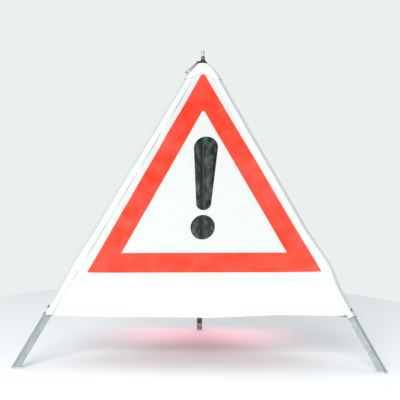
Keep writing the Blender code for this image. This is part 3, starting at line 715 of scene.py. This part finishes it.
def make_sleeve(side):
    """The sleeve wraps its leg from under the hinge to past the rivet, stitched along each face."""
    s = np.concatenate([np.linspace(SLEEVE_TOP, SLEEVE_END - 0.02, 138),
                        np.linspace(SLEEVE_END - 0.0195, SLEEVE_END, 12)])
    grid = np.array([sleeve_section(side, k) for k in s])
    rows, columns = grid.shape[:2]
    made = mesh_object(f"leg_sleeve_{side}_fabric", grid, quads(rows, columns))
    made.data.materials.append(PLAIN)
    t = np.broadcast_to(np.linspace(-0.03, 0.03, columns), (rows, columns))
    set_uv(made, np.stack([t, np.broadcast_to(s[:, None], t.shape)], -1).reshape(-1, 2))
    thicken(made, PANEL)
    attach(made, f"leg_assembly_{side}")
    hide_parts(f"leg_sleeve_{side}")
    runs = []
    for column in (3, columns - 4):
        line = grid[::2, column]
        aside = grid[::2, column + 1] - grid[::2, column - 1]
        ahead = np.gradient(line, axis=0)
        up = np.cross(ahead, aside)
        up /= np.linalg.norm(up, axis=1)[:, None]
        up *= np.sign((up @ leg_axes(side)[0]).mean())
        runs.append(thread_run(line + up * 0.0005, up))
    verts, faces = joined(runs)
    stitches = mesh_object(f"leg_sleeve_{side}_stitches", verts, faces)
    stitches.data.materials.append(THREAD)
    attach(stitches, f"leg_assembly_{side}")


for side in LEG_SIDES:
    make_sleeve(side)


# ---------------------------------------------------------------- the cover's tip
def skin_radius(angle, z):
    """Distance of the pyramid's skin from the centre line in one direction, with slightly round corners."""
    supports = []
    for side in LEG_SIDES:
        radial = np.array(ACROSS[side].cross(Vector((0, 0, 1))))
        supports.append((radial[0] * cos(angle) + radial[1] * sin(angle)) / (corner_radius(z) + 0.0028))
    for face in FACES.values():
        supports.append((face.out[0] * cos(angle) + face.out[1] * sin(angle)) / (face_distance(z) + 0.0026))
    supports = np.maximum(np.array(supports), 0)
    return (supports ** 50).sum() ** (-1 / 50)


def make_tip():
    """A cap of fabric over the top of the pyramid: it follows the skin, then closes in to the black cap."""
    skin_rows, cone_rows, columns = 10, 16, 144
    cone_low = 0.8965            # the fabric leaves the pyramid's skin here
    peak = skin_radius(pi / 2, cone_low)
    grid = np.zeros((skin_rows + cone_rows, columns, 3))
    for i in range(columns):
        angle = 2 * pi * i / columns
        to_corner = abs((angle - pi / 2 + pi / 3) % (2 * pi / 3) - pi / 3) / (pi / 3)
        low = TIP_LOW + TIP_RISE * np.clip((to_corner - 0.35) / 0.3, 0, 1) ** 0.8
        heights = np.concatenate([np.linspace(low, cone_low, skin_rows, endpoint=False),
                                  np.linspace(cone_low, TIP_HIGH, cone_rows)])
        for j, z in enumerate(heights):
            share = max(z - cone_low, 0.0) / (TIP_HIGH - cone_low)
            r = skin_radius(angle, min(z, cone_low))
            if share > 0:        # the corners fade into a round cone
                cone = peak + (HUB_TOP_R - peak) * share + 0.0012 * sin(pi * share)
                r = min(r * (1 - share) + cone * share, cone * (r / peak) ** (1 - share))
            r += 0.0005 * noise.noise(Vector((cos(angle) * 4, sin(angle) * 4, z * 60))) * (1 - share)
            grid[j, i] = (CENTRE.x + r * cos(angle), CENTRE.y + r * sin(angle), z)
    rows = len(grid)
    faces = [(j * columns + i, j * columns + (i + 1) % columns, (j + 1) * columns + (i + 1) % columns,
              (j + 1) * columns + i) for j in range(rows - 1) for i in range(columns)]
    made = mesh_object("cover_tip", grid, faces)
    made.data.materials.append(TIP)
    flat = grid.reshape(-1, 3)
    around = np.arctan2(flat[:, 1] - CENTRE.y, flat[:, 0] - CENTRE.x)
    set_pattern(made, None, around * 0.04, flat[:, 2])
    thicken(made, PANEL)
    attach(made, "head")
    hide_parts("cover_crown")
    line = np.concatenate([grid[2], grid[2][:1]])   # closed, just above the lower edge
    out = line - np.array((CENTRE.x, CENTRE.y, 0.0))
    out[:, 2] = 0.0
    out /= np.linalg.norm(out, axis=1)[:, None]
    verts, faces = thread_run(line + out * 0.0004, out)
    stitches = mesh_object("cover_tip_stitches", verts, faces)
    stitches.data.materials.append(THREAD)
    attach(stitches, "head")


make_tip()

# ---------------------------------------------------------------- metal and plastic pieces of the frame
# by the start of a node's name; the other metal pieces are zinc plated
# The rivets' near-black is painted shade at the sleeves' ends.
FRAME_LOOKS = {"leg_front": GALVANISED, "leg_rear": GALVANISED, "strut_front": GALVANISED,
               "strut_rear": GALVANISED, "foot": GREY_PLASTIC, "top_cap": BLACK_PLASTIC, "head_hub": CAST,
               "spreader_hub": CAST, "cover_rivet": DARK_STEEL_AND_SHADE, "rod_stop_collar": DARK_STEEL_AND_SHADE}
for name, node in frame["nodes"].items():
    if node.hide_render:
        continue
    look = next((m for start, m in FRAME_LOOKS.items() if name.startswith(start)), STEEL)
    node.data.materials.clear()
    node.data.materials.append(look)

# ---------------------------------------------------------------- stage, light and camera
CAMERA_BACK = 3.0                # from the centre line
CAMERA_Z = 0.470
LENS = 84.1                      # millimetres, on a 36 mm sensor
PITCH = radians(0.466)
ROLL = radians(0.70)             # the photograph is not quite level
ROOM = (0.83, 0.87, 0.86)
OVERHEAD = (0.72, 0.76, 0.77)
ROOM_EDGE, ROOM_TOP = 0.25, 0.60   # sine of the height where the room starts and stops getting dimmer
FLOOR = (0.85, 0.87, 0.89)
FLOOR_HALF_WIDE, FLOOR_HALF_DEEP, FLOOR_BEHIND = 1.13, 1.95, 0.90
KEY_AT, KEY_SIZE, KEY_POWER = (-0.8, -4.7, 1.75), (2.0, 1.1), 275
GLOW_BEHIND, GLOW_Z = 0.46, 0.10
GLOW_SIZE, GLOW_POWER, GLOW_COLOUR = (0.56, 0.40), 0.42, (1.0, 0.14, 0.28)


def plain_material(name, colour, roughness):
    shader = Shader(name)
    where = shader.add("TexCoord").outputs["Object"]
    tone = shader.mix(shader.noise(where, 1.2, 3.0), colour, tuple(0.985 * c for c in colour))
    return shader.finish(shader.principled(base_color=tone, roughness=roughness))


def make_floor():
    """An oval table top: the photograph shows its far edge curving down on both sides."""
    angles = np.linspace(0, 2 * pi, 160, endpoint=False)
    x = CENTRE.x + FLOOR_HALF_WIDE * np.cos(angles)
    y = CENTRE.y + FLOOR_BEHIND + FLOOR_HALF_DEEP * np.sin(angles)
    ring = np.stack([x, y, np.zeros_like(x)], -1)
    floor = mesh_object("floor", ring, [tuple(range(len(ring)))], smooth=False)
    floor.data.materials.append(plain_material("pale_floor", FLOOR, 0.6))


def area_light(name, where, target, size, power, colour=(1, 1, 1)):
    data = bpy.data.lights.new(name, "AREA")
    data.shape = "RECTANGLE"
    data.size, data.size_y = size
    data.energy = power
    data.color = colour
    lamp = bpy.data.objects.new(name, data)
    lamp.location = where
    lamp.rotation_euler = (Vector(target) - Vector(where)).to_track_quat("-Z", "Y").to_euler()
    bpy.context.scene.collection.objects.link(lamp)


def make_world():
    """A pale room: brightest along the horizon, dimmer overhead."""
    world = bpy.data.worlds.new("studio")
    world.use_nodes = True
    tree = world.node_tree
    direction = tree.nodes.new("ShaderNodeTexCoord").outputs["Generated"]
    height = tree.nodes.new("ShaderNodeSeparateXYZ")
    tree.links.new(direction, height.inputs[0])
    share = tree.nodes.new("ShaderNodeMapRange")
    tree.links.new(height.outputs["Z"], share.inputs["Value"])
    share.inputs["From Min"].default_value = ROOM_EDGE
    share.inputs["From Max"].default_value = ROOM_TOP
    tone = tree.nodes.new("ShaderNodeMix")
    tone.data_type = "RGBA"
    tree.links.new(share.outputs[0], tone.inputs[0])
    tone.inputs[6].default_value = (*ROOM, 1)
    tone.inputs[7].default_value = (*OVERHEAD, 1)
    tree.links.new(tone.outputs[2], tree.nodes["Background"].inputs["Color"])
    bpy.context.scene.world = world


def make_light():
    """One soft key from the front. The small glow stands in for light that the red print lets through."""
    make_world()
    middle = (CENTRE.x, CENTRE.y, 0.5)
    area_light("key", KEY_AT, middle, KEY_SIZE, KEY_POWER)
    glow = (CENTRE.x, CENTRE.y + GLOW_BEHIND, GLOW_Z)
    below = (CENTRE.x, CENTRE.y + GLOW_BEHIND, 0.0)
    area_light("glow", glow, below, GLOW_SIZE, GLOW_POWER, GLOW_COLOUR)


def make_camera():
    data = bpy.data.cameras.new("camera")
    data.lens = LENS
    data.sensor_width = 36
    camera = bpy.data.objects.new("camera", data)
    camera.location = (CENTRE.x - 0.004, CENTRE.y - CAMERA_BACK, CAMERA_Z)
    facing = Euler((pi / 2 + PITCH, 0, 0)).to_matrix()
    camera.rotation_euler = (facing @ Matrix.Rotation(ROLL, 3, "Z")).to_euler()
    bpy.context.scene.collection.objects.link(camera)
    bpy.context.scene.camera = camera


make_floor()
make_light()
make_camera()
bpy.context.scene.view_settings.view_transform = "Standard"
